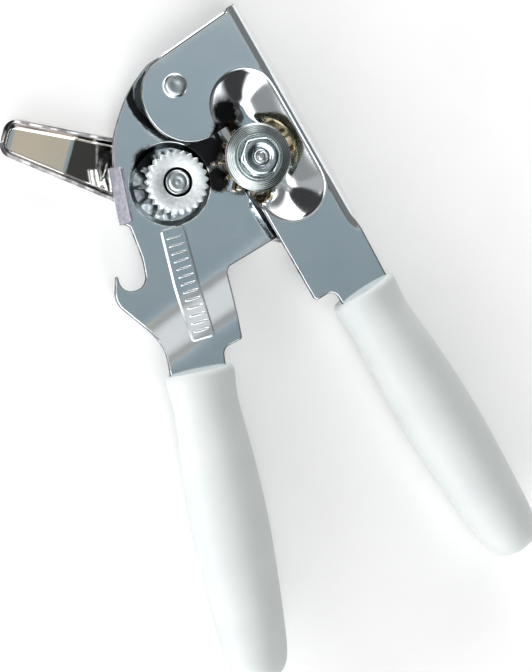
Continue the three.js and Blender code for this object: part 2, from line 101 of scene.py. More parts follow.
def rounded(corners, spacing=0.5):
    """A closed outline from [x, y, radius] corners: tangent arcs joined by stepped straight runs."""
    points = []
    for i, (x, y, *radius) in enumerate(corners):
        corner = np.array([x, y], float)
        if not radius:
            points.append(corner)
            continue
        before = np.array(corners[i - 1][:2], float) - corner
        after = np.array(corners[(i + 1) % len(corners)][:2], float) - corner
        before /= np.hypot(*before)
        after /= np.hypot(*after)
        half = math.acos(max(-1, min(1, float(before @ after)))) / 2
        bisector = (before + after) / np.hypot(*(before + after))
        centre = corner + bisector * radius[0] / math.sin(half)
        reach = radius[0] / math.tan(half)
        start, end = corner + before * reach - centre, corner + after * reach - centre
        turn = math.atan2(start[0] * end[1] - start[1] * end[0], float(start @ end))
        steps = max(4, math.ceil(abs(turn) * radius[0] / spacing))
        for k in range(steps + 1):
            c, s = math.cos(turn * k / steps), math.sin(turn * k / steps)
            points.append(centre + np.array([c * start[0] - s * start[1], s * start[0] + c * start[1]]))
    out = []
    for i, point in enumerate(points):
        following = points[(i + 1) % len(points)]
        steps = max(1, math.ceil(np.hypot(*(following - point)) / spacing - 0.01))
        out += [point + (following - point) * k / steps for k in range(steps)]
    return np.array(out)


def circle(x, y, radius, count):
    angles = np.arange(count) * 2 * math.pi / count
    return np.stack([x + radius * np.cos(angles), y + radius * np.sin(angles)], axis=1)


def inset(loop, distance):
    """The loop moved towards its left side, which is the inside of an anticlockwise one."""
    edge = np.roll(loop, -1, 0) - loop
    edge /= np.hypot(edge[:, 0], edge[:, 1])[:, None]
    normal = np.stack([-edge[:, 1], edge[:, 0]], axis=1)
    corner = normal + np.roll(normal, 1, 0)
    length = np.hypot(corner[:, 0], corner[:, 1])
    corner /= length[:, None]
    return loop + corner * (distance / np.maximum(length / 2, 0.5))[:, None]


def anticlockwise(loop):
    x, y = loop[:, 0], loop[:, 1]
    area = np.sum(x * np.roll(y, -1) - np.roll(x, -1) * y)
    return loop if area > 0 else loop[::-1]


def inside(points, loop):
    """True for each point within the loop, by counting the edges to its right."""
    x, y = points[:, 0, None], points[:, 1, None]
    x0, y0 = loop[:, 0][None], loop[:, 1][None]
    x1, y1 = np.roll(loop[:, 0], -1)[None], np.roll(loop[:, 1], -1)[None]
    crosses = (y0 > y) != (y1 > y)
    rise = np.where(y1 == y0, 1, y1 - y0)
    return (crosses & (x < x0 + (y - y0) * (x1 - x0) / rise)).sum(1) % 2 == 1


def clear_of(points, others, distance):
    keep = np.ones(len(points), bool)
    for first in range(0, len(points), 400):
        block = points[first:first + 400]
        gap = np.hypot(block[:, 0, None] - others[:, 0], block[:, 1, None] - others[:, 1])
        keep[first:first + 400] = gap.min(1) > distance
    return points[keep]


def rounded_profile(corners, steps=6):
    """An open polyline of [x, y, radius] corners with its corners rounded, as arrays of x and y."""
    points = []
    for i, (x, y, *radius) in enumerate(corners):
        corner = np.array([x, y], float)
        if not radius:
            points.append(corner)
            continue
        before = np.array(corners[i - 1][:2], float) - corner
        after = np.array(corners[i + 1][:2], float) - corner
        before /= np.hypot(*before)
        after /= np.hypot(*after)
        half = math.acos(float(before @ after)) / 2
        reach = radius[0] / math.tan(half)
        start, end = corner + before * reach, corner + after * reach
        for k in range(steps + 1):
            t = k / steps
            points.append((1 - t) ** 2 * start + 2 * t * (1 - t) * corner + t * t * end)
    return np.array(points)


def profile_height(distance, profile):
    order = np.argsort(profile[:, 0])
    return np.interp(distance, profile[order, 0], profile[order, 1])


# ---- pieces ----

def piece(name, points, faces, place, body, material, stands_for=(), own_axis=False, others=()):
    """A smooth-shaded mesh in millimetres, put in its place and riding on a body. With own_axis its object
    keeps its origin on its own axis, for materials that run round it. others is a list of further
    materials, each with the indices of the faces that have it."""
    mesh = bpy.data.meshes.new(name)
    mesh.from_pydata([tuple(c * MM for c in p) for p in np.asarray(points, float)], [], faces)
    for index, (other, chosen) in enumerate(others):
        for face in chosen:
            mesh.polygons[face].material_index = index + 1
    if not own_axis:
        mesh.transform(place)
    mesh.polygons.foreach_set("use_smooth", [True] * len(mesh.polygons))
    for finish in (material, *(other for other, _ in others)):
        mesh.materials.append(finish)
    obj = bpy.data.objects.new(name, mesh)
    bpy.context.scene.collection.objects.link(obj)
    if own_axis:
        obj.matrix_world = place
    weights = obj.modifiers.new("weighted", "WEIGHTED_NORMAL")
    weights.keep_sharp = True
    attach(obj, body)
    if stands_for:
        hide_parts(*stands_for)
    return obj


def skin(rings, closed=False):
    """Points and faces of a skin over rings of equal count; unless closed, the end rings are capped."""
    count = len(rings[0])
    points = np.concatenate(rings)
    total = len(rings)
    faces = []
    for ring in range(total if closed else total - 1):
        base, above = ring * count, (ring + 1) % total * count
        for k in range(count):
            after = (k + 1) % count
            faces.append((base + k, base + after, above + after, above + k))
    if not closed:
        faces.append(tuple(range(count))[::-1])
        faces.append(tuple(range((total - 1) * count, total * count)))
    return points, faces


def lathe(profile, segments=96):
    """A turned body from a closed [radius, height] profile that doesn't touch the axis, or from an open one
    whose two ends are capped by flat discs."""
    closed = profile[0] == profile[-1]
    used = profile[:-1] if closed else profile
    rings = [np.column_stack([circle(0, 0, r, segments), np.full(segments, z)]) for r, z in used]
    return skin(rings, closed)


def joined(parts):
    points, faces, base = [], [], 0
    for part_points, part_faces in parts:
        points.append(np.asarray(part_points))
        faces += [tuple(base + i for i in face) for face in part_faces]
        base += len(part_points)
    return np.concatenate(points), faces


def sheet_metal(outline, holes, features, surface, spacing=1.5):
    """A sheet with rounded cut edges: surface(points) gives the front face, and the back lies a sheet's
    thickness behind it. features are points where the surface changes quickly. Returns the points, the faces
    and the indices of the faces on the cut edges."""
    loops = [anticlockwise(outline)] + [anticlockwise(hole)[::-1] for hole in holes]
    steps = [EDGE_ROUND * share for share in (0, 0.13, 0.45, 1, 2.4)]
    points, edges, depths = [], [], []
    for loop in loops:
        for step in steps:
            ring = inset(loop, step)
            first = len(points)
            points += list(ring)
            edges += [(first + k, first + (k + 1) % len(ring)) for k in range(len(ring))]
            short = max(0, EDGE_ROUND - step)
            depth = EDGE_ROUND - math.sqrt(EDGE_ROUND ** 2 - short ** 2)
            depths += [depth] * len(ring)
    ringed = np.array(points)

    def within(candidates):
        keep = inside(candidates, inset(loops[0], steps[-1]))
        for loop in loops[1:]:
            keep &= ~inside(candidates, inset(loop, steps[-1]))
        return candidates[keep]

    marked = clear_of(within(features), ringed, 0.12)
    low, high = loops[0].min(0), loops[0].max(0)
    across, along = np.meshgrid(np.arange(low[0], high[0], spacing), np.arange(low[1], high[1], spacing))
    grid = within(np.column_stack([across.ravel(), along.ravel()]))
    grid = clear_of(grid, np.concatenate([ringed, marked]), 0.6 * spacing)
    loose = np.concatenate([marked, grid])
    depths += [0.0] * len(loose)
    coords = [Vector(p) for p in np.concatenate([ringed, loose])]
    flat, _, triangles, sources, _, _ = delaunay_2d_cdt(coords, edges, [], 0, 1e-5)
    flat = np.array([tuple(p) for p in flat])
    depth = np.array([depths[s[0]] if s else 0.0 for s in sources])
    triangles = np.array(triangles)
    middle = flat[triangles].mean(1)
    keep = inside(middle, loops[0])
    for loop in loops[1:]:
        keep &= ~inside(middle, loop)
    triangles = triangles[keep]

    front = surface(flat)
    nudge = 0.02
    along_x = surface(flat + [nudge, 0]) - surface(flat - [nudge, 0])
    along_y = surface(flat + [0, nudge]) - surface(flat - [0, nudge])
    normal = np.cross(along_x, along_y)
    normal /= np.linalg.norm(normal, axis=1)[:, None]
    count = len(flat)
    both = np.concatenate([front - normal * depth[:, None], front - normal * (SHEET - depth)[:, None]])
    faces = [tuple(t) for t in triangles] + [(c + count, b + count, a + count) for a, b, c in triangles]
    seen = {}
    for a, b, c in triangles:
        for edge in ((a, b), (b, c), (c, a)):
            seen[edge] = True
    rim = [(a, b) for a, b in seen if (b, a) not in seen]
    faces += [(b, a, a + count, b + count) for a, b in rim]
    cut = depth[triangles].max(1) > EASED
    edge_faces = [k for k in range(2 * len(triangles)) if cut[k % len(triangles)]]
    edge_faces += range(2 * len(triangles), len(faces))
    used = sorted({i for face in faces for i in face})
    new = {old: k for k, old in enumerate(used)}
    return both[used], [tuple(new[i] for i in face) for face in faces], edge_faces


def dress(name, material, bevel=0.0):
    """A CAD node that stays: its own material, welded and smooth, with its sharp edges eased."""
    node = frame["nodes"][name]
    node.data.materials.clear()
    node.data.materials.append(material)
    node.data.polygons.foreach_set("use_smooth", [True] * len(node.data.polygons))
    weld = node.modifiers.new("weld", "WELD")
    weld.merge_threshold = 0.002 * MM
    dissolve = node.modifiers.new("dissolve", "DECIMATE")
    dissolve.decimate_type = "DISSOLVE"
    dissolve.angle_limit = math.radians(1)
    if bevel:
        eased = node.modifiers.new("eased", "BEVEL")
        eased.width = bevel * MM
        eased.segments = 2
        eased.limit_method = "ANGLE"
        eased.angle_limit = math.radians(40)
        eased.use_clamp_overlap = True
    node.modifiers.new("weighted", "WEIGHTED_NORMAL").keep_sharp = True


# ---- materials ----

def shader(name):
    material = bpy.data.materials.new(name)
    material.use_nodes = True
    nodes, links = material.node_tree.nodes, material.node_tree.links
    return material, nodes, links, nodes["Principled BSDF"]


def noise_at(nodes, links, scale, detail=4.0, stretch=(1, 1, 1), rough=0.55, tilt=0.0):
    """Noise drawn out by stretch along the axes of a frame that is turned by tilt degrees."""
    coordinates = nodes.new("ShaderNodeTexCoord")
    mapping = nodes.new("ShaderNodeMapping")
    mapping.vector_type = "TEXTURE"
    mapping.inputs["Rotation"].default_value = (0, 0, math.radians(tilt))
    mapping.inputs["Scale"].default_value = stretch
    texture = nodes.new("ShaderNodeTexNoise")
    texture.inputs["Scale"].default_value = scale
    texture.inputs["Detail"].default_value = detail
    texture.inputs["Roughness"].default_value = rough
    links.new(coordinates.outputs["Object"], mapping.inputs["Vector"])
    links.new(mapping.outputs["Vector"], texture.inputs["Vector"])
    return texture.outputs["Fac"]


def ramp(nodes, links, factor, stops):
    node = nodes.new("ShaderNodeValToRGB")
    elements = node.color_ramp.elements
    while len(elements) < len(stops):
        elements.new(0.5)
    for element, (position, value) in zip(elements, stops):
        element.position = position
        colour = value if hasattr(value, "__len__") else (value, value, value)
        element.color = (*colour, 1)
    links.new(factor, node.inputs["Fac"])
    return node.outputs["Color"]


def bump(nodes, links, height, strength, distance, under=None):
    node = nodes.new("ShaderNodeBump")
    node.inputs["Strength"].default_value = strength
    node.inputs["Distance"].default_value = distance * MM
    links.new(height, node.inputs["Height"])
    if under is not None:
        links.new(under, node.inputs["Normal"])
    return node.outputs["Normal"]


def mixed(nodes, links, factor, under, over):
    """A plain colour laid over another by factor."""
    node = nodes.new("ShaderNodeMixRGB")
    links.new(factor, node.inputs["Fac"])
    links.new(under, node.inputs["Color1"])
    node.inputs["Color2"].default_value = (*over, 1)
    return node.outputs["Color"]


def calculated(nodes, links, operation, *values):
    """The result of a math operation on sockets and plain numbers."""
    node = nodes.new("ShaderNodeMath")
    node.operation = operation
    for socket, value in zip(node.inputs, values):
        if hasattr(value, "name"):
            links.new(value, socket)
        else:
            socket.default_value = value
    return node.outputs["Value"]


def shade_spots(nodes, links, spots):
    """Mask of painted shade, standing for shadow and dark reflections: 1 within ragged round spots, given as
    x and y from the rivet and radius in millimetres; 0 outside. A fourth number makes it a ragged ring of
    that radius, and the third is then about half its width."""
    coordinates = nodes.new("ShaderNodeTexCoord")
    ragged = noise_at(nodes, links, 420, 5, rough=0.65)
    covered = None
    for x, y, radius, *ring in spots:
        flat = nodes.new("ShaderNodeVectorMath")
        flat.operation = "MULTIPLY"
        flat.inputs[1].default_value = (1, 1, 0)
        links.new(coordinates.outputs["Object"], flat.inputs[0])
        away = nodes.new("ShaderNodeVectorMath")
        away.operation = "DISTANCE"
        away.inputs[1].default_value = (PIVOT.x + x * MM, PIVOT.y + y * MM, 0)
        links.new(flat.outputs["Vector"], away.inputs[0])
        reach = away.outputs["Value"]
        if ring:
            reach = calculated(nodes, links, "SUBTRACT", reach, ring[0] * MM)
            reach = calculated(nodes, links, "ABSOLUTE", reach)
        reach = calculated(nodes, links, "DIVIDE", reach, radius * MM)
        reach = calculated(nodes, links, "MULTIPLY_ADD", ragged, 0.9, reach)
        share = nodes.new("ShaderNodeMapRange")
        share.interpolation_type = "SMOOTHSTEP"
        for socket, value in (("From Min", 1.6), ("From Max", 1.25)):
            share.inputs[socket].default_value = value
        links.new(reach, share.inputs["Value"])
        one = share.outputs["Result"]
        covered = one if covered is None else calculated(nodes, links, "MAXIMUM", covered, one)
    return covered


# near-black colour and roughness of the shade painted on the plates' steel
PAINTED_SHADE = (0.02, 0.02, 0.022)
PAINTED_SHADE_ROUGHNESS = (0.3, 0.3, 0.3)


def metal(name, light, dark, rough, grain=2600, waviness=0.05, scratch=0.12, spots=(), patches=90):
    """Plated or ground metal: tone varies in patches and roughness in fine grain, the surface is slightly
    wavy, and black shade is painted on the spots, standing for shadow and dark reflections."""
    material, nodes, links, base = shader(name)
    base.inputs["Metallic"].default_value = 1.0
    slow = noise_at(nodes, links, patches, 3)
    colour = ramp(nodes, links, slow, [(0.3, dark), (0.7, light)])
    fine = noise_at(nodes, links, grain, 3)
    dull = ramp(nodes, links, fine, [(0.25, rough * 0.7), (0.8, rough * 1.35)])
    if spots:
        # near-black shade painted on the spots
        shade_mask = shade_spots(nodes, links, spots)
        colour = mixed(nodes, links, shade_mask, colour, PAINTED_SHADE)
        dull = mixed(nodes, links, shade_mask, dull, PAINTED_SHADE_ROUGHNESS)
    links.new(colour, base.inputs["Base Color"])
    links.new(dull, base.inputs["Roughness"])
    waves = bump(nodes, links, slow, waviness, 0.6)
    links.new(bump(nodes, links, fine, scratch, 0.02, waves), base.inputs["Normal"])
    return material


def turned_metal(name, light, dark, rough, pitch=0.35, strength=0.35):
    """Metal with the fine circular marks of a lathe or grinder round the piece's own Z axis."""
    material, nodes, links, base = shader(name)
    base.inputs["Metallic"].default_value = 1.0
    coordinates = nodes.new("ShaderNodeTexCoord")
    rings = nodes.new("ShaderNodeTexWave")
    rings.wave_type = "RINGS"
    rings.rings_direction = "Z"
    rings.inputs["Scale"].default_value = 1 / (pitch * MM * 3.2)
    rings.inputs["Distortion"].default_value = 1.2
    rings.inputs["Detail"].default_value = 4
    rings.inputs["Detail Scale"].default_value = 1.5
    links.new(coordinates.outputs["Object"], rings.inputs["Vector"])
    slow = noise_at(nodes, links, 260, 3)
    links.new(ramp(nodes, links, slow, [(0.3, dark), (0.7, light)]), base.inputs["Base Color"])
    links.new(ramp(nodes, links, rings.outputs["Fac"], [(0, rough * 0.7), (1, rough * 1.3)]),
              base.inputs["Roughness"])
    links.new(bump(nodes, links, rings.outputs["Fac"], strength, 0.02), base.inputs["Normal"])
    return material


def plastic(name, tilt):
    """Satin white moulding: soft mottling and fine lengthwise flow marks."""
    material, nodes, links, base = shader(name)
    mottle = noise_at(nodes, links, 60, 4)
    links.new(ramp(nodes, links, mottle, [(0.25, (0.49, 0.52, 0.515)), (0.8, (0.55, 0.575, 0.57))]),
              base.inputs["Base Color"])
    flow = noise_at(nodes, links, 900, 3, (1, 16, 1), tilt=tilt)
    fine = noise_at(nodes, links, 3200, 2)
    links.new(ramp(nodes, links, fine, [(0.2, 0.42), (0.8, 0.6)]), base.inputs["Roughness"])
    lines = bump(nodes, links, flow, 0.12, 0.08)
    links.new(bump(nodes, links, fine, 0.1, 0.03, lines), base.inputs["Normal"])
    base.inputs["Specular IOR Level"].default_value = 0.4
    return material


PLATE_LIGHT, PLATE_DARK = (0.88, 0.92, 0.94), (0.82, 0.87, 0.90)
SHADE_UNDER_LOBE = (0, 0, 1.2, 11.4)      # a ring of painted shade under the edge of the upper plate's round end
SHADE_UNDER_EDGE = (276.4, 131.6, 0.75, 300)      # painted shade in so wide a ring that it is a line along the upper plate's edge
# the lower plate's steel, with near-black shade painted on the mouth between the wheels, on the dish beside
# the feed wheel, under the upper plate's round end and along its edge
plate_steel_painted_shade = metal("plate_steel_painted_shade", PLATE_LIGHT, PLATE_DARK, 0.11, waviness=0.03, scratch=0.22, spots=[
    (7.6, -18.5, 4.5), (13.6, -24.7, 3.5), (10.9, -16.6, 4.0), (-6, -20, 4), SHADE_UNDER_LOBE,
    SHADE_UNDER_EDGE])
# the upper plate's steel, with near-black shade painted on spots in and round the pocket
pocket_steel_painted_shade = metal("pocket_steel_painted_shade", PLATE_LIGHT, PLATE_DARK, 0.11, waviness=0.03, scratch=0.22, spots=[
    (15, -7, 4), (15.5, -13, 5.5), (22, -22, 6)])
# near-black painted shade for the groove round the feed wheel's shaft
groove_painted_shade = metal("groove_painted_shade", (0.05, 0.05, 0.055), (0.02, 0.02, 0.02), 0.4, patches=600)
# the sheets' cut edges, painted dark to stand for the thin dark lines of shade and reflection along them
cut_edge_painted_dark = metal("cut_edge_painted_dark", (0.26, 0.28, 0.3), (0.015, 0.015, 0.02), 0.3, scratch=0.3, patches=400)
tab_steel = metal("tab_steel", (0.44, 0.44, 0.5), (0.27, 0.27, 0.31), 0.42, grain=900, scratch=0.7,
                  patches=700)
key_chrome = metal("key_chrome", (0.9, 0.88, 0.84), (0.84, 0.82, 0.78), 0.06, waviness=0.04, scratch=0.05)
# the key's cut edge and the inner wall of its tray, chrome painted dark as painted reflections of dark
# surroundings
key_rim_painted_dark = metal("key_rim_painted_dark", (0.42, 0.41, 0.42), (0.05, 0.05, 0.05), 0.16, patches=230)
key_wall_painted_dark = metal("key_wall_painted_dark", (0.3, 0.25, 0.23), (0.04, 0.03, 0.03), 0.1, patches=150)
frosted_zinc = metal("frosted_zinc", (0.92, 0.95, 0.96), (0.66, 0.73, 0.75), 0.45, grain=1500, scratch=0.9,
                     patches=900)
bronze_zinc = metal("bronze_zinc", (0.5, 0.4, 0.25), (0.1, 0.08, 0.05), 0.28, scratch=0.3, patches=500)
oiled_zinc = metal("oiled_zinc", (0.36, 0.4, 0.4), (0.08, 0.09, 0.09), 0.3, scratch=0.3, patches=500)
dark_steel = metal("dark_steel", (0.32, 0.35, 0.37), (0.15, 0.17, 0.18), 0.35, scratch=0.3)
ground_steel = turned_metal("ground_steel", (0.6, 0.65, 0.66), (0.42, 0.47, 0.48), 0.24)
disc_steel = turned_metal("disc_steel", (0.5, 0.55, 0.55), (0.28, 0.32, 0.32), 0.24, pitch=0.5, strength=0.6)
nut_steel = metal("nut_steel", (0.62, 0.7, 0.73), (0.36, 0.43, 0.46), 0.14, waviness=0.15, scratch=0.2,
                  patches=300)
lower_plastic = plastic("white_plastic_lower", LOWER_TILT)
upper_plastic = plastic("white_plastic_upper", UPPER_TILT)


# ---- upper plate ----

def smoothstep(low, high, value):
    t = np.clip((value - low) / (high - low), 0, 1)
    return t * t * (3 - 2 * t)


def fold(distance, radius):
    """How far a sheet goes sideways and down at a distance past the start of a right-angled bend."""
    angle = np.clip(distance / radius, 0, math.pi / 2)
    straight = np.maximum(distance - radius * math.pi / 2, 0)
    return radius * np.sin(angle), radius * (1 - np.cos(angle)) + straight


def hollow_distance(points):
    """Distance from the pocket's spine, less round the cutter's axis, so that the pocket's wall runs out
    into the mouth."""
    nearest = np.clip(points[:, 1], POCKET_END, POCKET_TOP)
    spine = np.hypot(points[:, 0] - POCKET_X, points[:, 1] - nearest)
    axis = np.hypot(points[:, 0] - stud_at[0], points[:, 1] - stud_at[1]) - MOUTH_SPREAD
    blend = 1.2
    share = np.clip(0.5 + 0.5 * (axis - spine) / blend, 0, 1)
    return axis + (spine - axis) * share - blend * share * (1 - share) / 2


def bowl_height(distance):
    """A bowl with steady slopes and a rounded brim."""
    raw = BOWL_DEPTH * ((distance / BOWL_R) ** 1.7 - 1)
    brim = 0.7
    share = np.clip(0.5 + 0.5 * raw / brim, 0, 1)
    return raw * (1 - share) - brim * share * (1 - share) / 2


def obround(radius, count=44):
    half = np.arange(count + 1) * math.pi / count
    top = np.column_stack([POCKET_X + radius * np.cos(half), POCKET_TOP + radius * np.sin(half)])
    end = np.column_stack([POCKET_X - radius * np.cos(half), POCKET_END - radius * np.sin(half)])
    side = np.linspace(POCKET_TOP, POCKET_END, 40)[1:-1]
    left = np.column_stack([np.full(len(side), POCKET_X - radius), side])
    right = np.column_stack([np.full(len(side), POCKET_X + radius), side[::-1]])
    return np.concatenate([top, left, end, right])


BOWL_R = 9.8
BOWL_DEPTH = 4.8
FLOOR_PROFILE = rounded_profile([[13, 0], [9.6, 0, 0.9], [7.6, -4.6, 1.2], [6.5, -4.8], [0, -4.8]], 8)
FLAT_REACH = (9.4, 13.0)            # round the cutter's axis the floor is flat, and beyond it a bowl
MOUTH_SPREAD = 3.6                  # how much wider the hollow is round the cutter's own axis
stud_at = local_xy(CUTTER, UPPER)
slope = math.radians(HEAD_SLOPE)
head_normal = np.array([-math.sin(slope), math.cos(slope)])


def upper_surface(points):
    x, y = points[:, 0].copy(), points[:, 1].copy()
    off_axis = np.hypot(points[:, 0] - stud_at[0], points[:, 1] - stud_at[1])
    bowl = smoothstep(*FLAT_REACH, off_axis)
    rise = 1 - 0.2 * smoothstep(10, 26, off_axis)
    hollow = hollow_distance(points)
    z = UPPER_FRONT + (1 - bowl) * profile_height(hollow, FLOOR_PROFILE)
    z += bowl * rise * bowl_height(np.maximum(hollow, 0))
    past = (points - [0, HEAD_FOLD_Y]) @ head_normal
    past = np.where((x > -3) & (x < BEND_X - 0.75), np.maximum(past, 0), 0)
    out, down = fold(past, HEAD_FOLD_R)
    x += head_normal[0] * (out - past)
    y += head_normal[1] * (out - past)
    z -= down
    past = np.maximum(points[:, 0] - BEND_X, 0)
    out, down = fold(past, BEND_R)
    share = smoothstep(EDGE_BOTTOM - 6, EDGE_BOTTOM, points[:, 1])
    x += share * (out - past)
    z -= share * down
    return np.column_stack([x, y, z])


def upper_plate():
    edge = BEND_X + BEND_R * math.pi / 2 + EDGE_FLAT
    lip = HEAD_FOLD_R * math.pi / 2 + 1.8

    def on_head(x, past):
        foot = np.array([x, HEAD_FOLD_Y + x * math.tan(slope)])
        return list(foot + head_normal * past)

    outline = rounded([
        [edge, EDGE_TOP, 1.6], [BEND_X + 0.1, EDGE_TOP, 0.4], [*on_head(22.9, 0.35), 0.3],
        [*on_head(22.2, lip), 0.7], [*on_head(3.2, lip), 1.2], [*on_head(-0.6, 1.0)], [-10.7, 8.4, 12.2],
        [-10.7, -16.9, 12.9], [8.2, -16.9, 0.6], [8.2, -34.8, 0.6], [4.3, -34.8, 0.8],
        [4.3, -70.3, 1.2], [10.5, -70.3, 2.5], [10.6, -76, 4], [14, -120, 2], [25.4, -120, 2], [25.6, -76],
        [26.1, -58, 3], [26.3, EDGE_BOTTOM - 0.9, 0.8], [edge, EDGE_BOTTOM, 1.2],
    ], 0.42)
    holes = [circle(0, 0, 2.75, 40), circle(*stud_at, 2.1, 36)]
    rows = [obround(radius) for radius in np.arange(0.8, 11, 0.36)]
    rows += [circle(*stud_at, radius, 120) for radius in np.arange(10, 15, 0.4)]
    for past in np.linspace(0, HEAD_FOLD_R * math.pi / 2, 7):
        rows.append(np.array([on_head(x, past) for x in np.linspace(-0.5, 22.4, 28)]))
    for past in np.linspace(0, BEND_R * math.pi / 2, 9):
        along = np.linspace(EDGE_TOP - 0.5, -68, 64)
        rows.append(np.column_stack([np.full(64, BEND_X + past), along]))
    points, faces, edge_faces = sheet_metal(outline, holes, np.concatenate(rows), upper_surface)
    return piece("upper_plate_sheet", points, faces, UPPER, "upper_handle", pocket_steel_painted_shade,
                 ["upper_plate"], others=[(cut_edge_painted_dark, edge_faces)])


# ---- lower plate ----
JOGGLE_SKEW = math.radians(24)
JOGGLE_START, JOGGLE_END, JOGGLE_RISE = -50.5, -66.5, 2.4
GRIP_LINE_X = -8.7
TAB_FOLD_X = -19.6
TAB_FOLD_R = 0.8
TAB_LEAN = math.radians(115)        # how far the tab is folded forward
DISH_PROFILE = rounded_profile([[14, 0], [11.3, 0, 0.7], [10.1, -DISH_DEPTH, 0.6], [0, -DISH_DEPTH]], 8)
PANEL = [[-10.5, -37.6, 0.8], [-3.9, -37.1, 0.8], [-2.9, -53], [-2.1, -68.4, 0.8], [-8.5, -68.9, 0.8],
         [-9.9, -53]]
PANEL_RISE = 0.14
shaft_at = local_xy(FEED, LOWER)


def loop_distance(points, loop):
    """Distance to the loop's outline, positive inside it."""
    start, end = loop, np.roll(loop, -1, 0)
    run = end - start
    offset = points[:, None] - start[None]
    t = np.clip((offset * run).sum(2) / (run * run).sum(1), 0, 1)
    gap = np.linalg.norm(offset - t[..., None] * run, axis=2).min(1)
    return np.where(inside(points, loop), gap, -gap)


panel_loop = anticlockwise(rounded(PANEL, 0.5))


def joggle_height(points):
    along = (points[:, 0] - GRIP_LINE_X) * -math.sin(JOGGLE_SKEW) + points[:, 1] * math.cos(JOGGLE_SKEW)
    return JOGGLE_RISE * (1 - smoothstep(JOGGLE_END, JOGGLE_START, along))


def lower_surface(points):
    x = points[:, 0].copy()
    z = joggle_height(points)
    z += profile_height(np.hypot(points[:, 0] - shaft_at[0], points[:, 1] - shaft_at[1]), DISH_PROFILE)
    z += PANEL_RISE * smoothstep(-0.04, 0.16, loop_distance(points, panel_loop))
    past = np.maximum(TAB_FOLD_X - points[:, 0], 0)
    in_tab = (points[:, 1] < -18) & (points[:, 1] > -34.2)
    past = np.where(in_tab, past, 0)
    angle = np.clip(past / TAB_FOLD_R, 0, TAB_LEAN)
    straight = np.maximum(past - TAB_FOLD_R * TAB_LEAN, 0)
    x += past - TAB_FOLD_R * np.sin(angle) - straight * math.cos(TAB_LEAN)
    z += TAB_FOLD_R * (1 - np.cos(angle)) + straight * math.sin(TAB_LEAN)
    return np.column_stack([x, points[:, 1], z])


def lower_plate():
    tab_end = TAB_FOLD_X - TAB_FOLD_R * TAB_LEAN - 4.7
    outline = rounded([
        [-3.5, 8.6, 10], [-12.2, 0.6, 28], [-18.3, -10, 20], [TAB_FOLD_X - 0.3, -18.2, 0.4],
        [tab_end, -18.6, 0.9], [tab_end, -33.4, 0.9], [TAB_FOLD_X - 0.3, -34, 0.4],
        [-18.6, -35, 0.8], [-17, -44, 20],
        [-17.2, -52.1, 3.6], [-24.5, -52.1, 3.3], [-24.7, -47.6, 0.3],
        [-25.3, -47.2, 0.3], [-27.1, -54.2, 6],
        [-16.3, -67.3, 14], [-16.6, -77, 8], [-14.2, -122, 2],
        [-3.2, -122, 2], [-0.7, -77, 8], [-0.4, -72.4, 2.6], [5.4, -71, 1],
        [5.6, -51.2, 2.2], [27, -43.9, 3], [10.5, -12, 12], [9, 8.9, 8],
    ], 0.42)
    holes = [circle(0, 0, 2.75, 40), circle(*shaft_at, 4, 48)]
    rows = [circle(*shaft_at, radius, 110) for radius in DISH_PROFILE[:, 0] if 9 < radius < 13]
    rows += [inset(panel_loop, step) for step in (-0.3, -0.04, 0.02, 0.09, 0.16, 0.4)]
    for past in np.linspace(0, TAB_FOLD_R * TAB_LEAN, 7):
        rows.append(np.column_stack([np.full(24, TAB_FOLD_X - past), np.linspace(-18.9, -33.3, 24)]))
    points, faces, edge_faces = sheet_metal(outline, holes, np.concatenate(rows), lower_surface, 1.3)
    on_tab = [k for k, face in enumerate(faces)
              if all(points[i][0] < -17 and points[i][2] > 0.7 for i in face)]
    return piece("lower_plate_sheet", points, faces, LOWER, "lower_handle", plate_steel_painted_shade,
                 ["lower_plate"], others=[(cut_edge_painted_dark, edge_faces), (tab_steel, on_tab)])


RIB_COUNT = 13


def rib(centre, half_length, half_width, rise, tilt):
    """A low rounded bar across the panel."""
    count = 22
    angles = np.arange(count) * 2 * math.pi / count
    rings = []
    for scale, height in ((1.0, -0.15), (1.0, 0.0), (0.86, rise * 0.6), (0.6, rise * 0.92), (0.25, rise)):
        across = np.sign(np.cos(angles)) * np.abs(np.cos(angles)) ** 0.6
        x = across * (half_length - half_width * (1 - scale))
        y = np.sin(angles) * half_width * scale
        turned_x = x * math.cos(tilt) - y * math.sin(tilt) + centre[0]
        turned_y = x * math.sin(tilt) + y * math.cos(tilt) + centre[1]
        flat = np.column_stack([turned_x, turned_y])
        rings.append(np.column_stack([flat, lower_surface(flat)[:, 2] + height]))
    return skin(rings)


def panel_ribs():
    """Plain bars in place of lettering, inside the raised panel."""
    bars = []
    for k in range(RIB_COUNT):
        share = (k + 0.5) / RIB_COUNT
        centre = (-7.2 + 1.9 * share + 0.5 * math.sin(math.pi * share), -39 - 28.4 * share)
        bars.append(rib(centre, 2.35, 0.42, 0.2, math.radians(4)))
    points, faces = joined(bars)
    return piece("panel_ribs", points, faces, LOWER, "lower_handle", plate_steel_painted_shade)


# ---- grips ----
GRIP_PROFILE = np.array([
    [0, 8.3], [0.12, 8.75], [0.45, 9.2], [1, 9.55], [1.8, 9.68], [3, 9.6], [5, 9.28], [8, 8.95], [11, 9.0],
    [15, 9.3], [24, 10], [31, 10.35], [38, 10.58], [45, 10.6], [52, 10.4], [59, 10.05], [66, 9.6], [72, 9.2],
    [77, 8.82], [80.5, 8.35], [83, 7.62], [84.8, 6.6], [86, 5.3], [86.7, 3.9], [87, 2.0], [87.02, 0.7]])


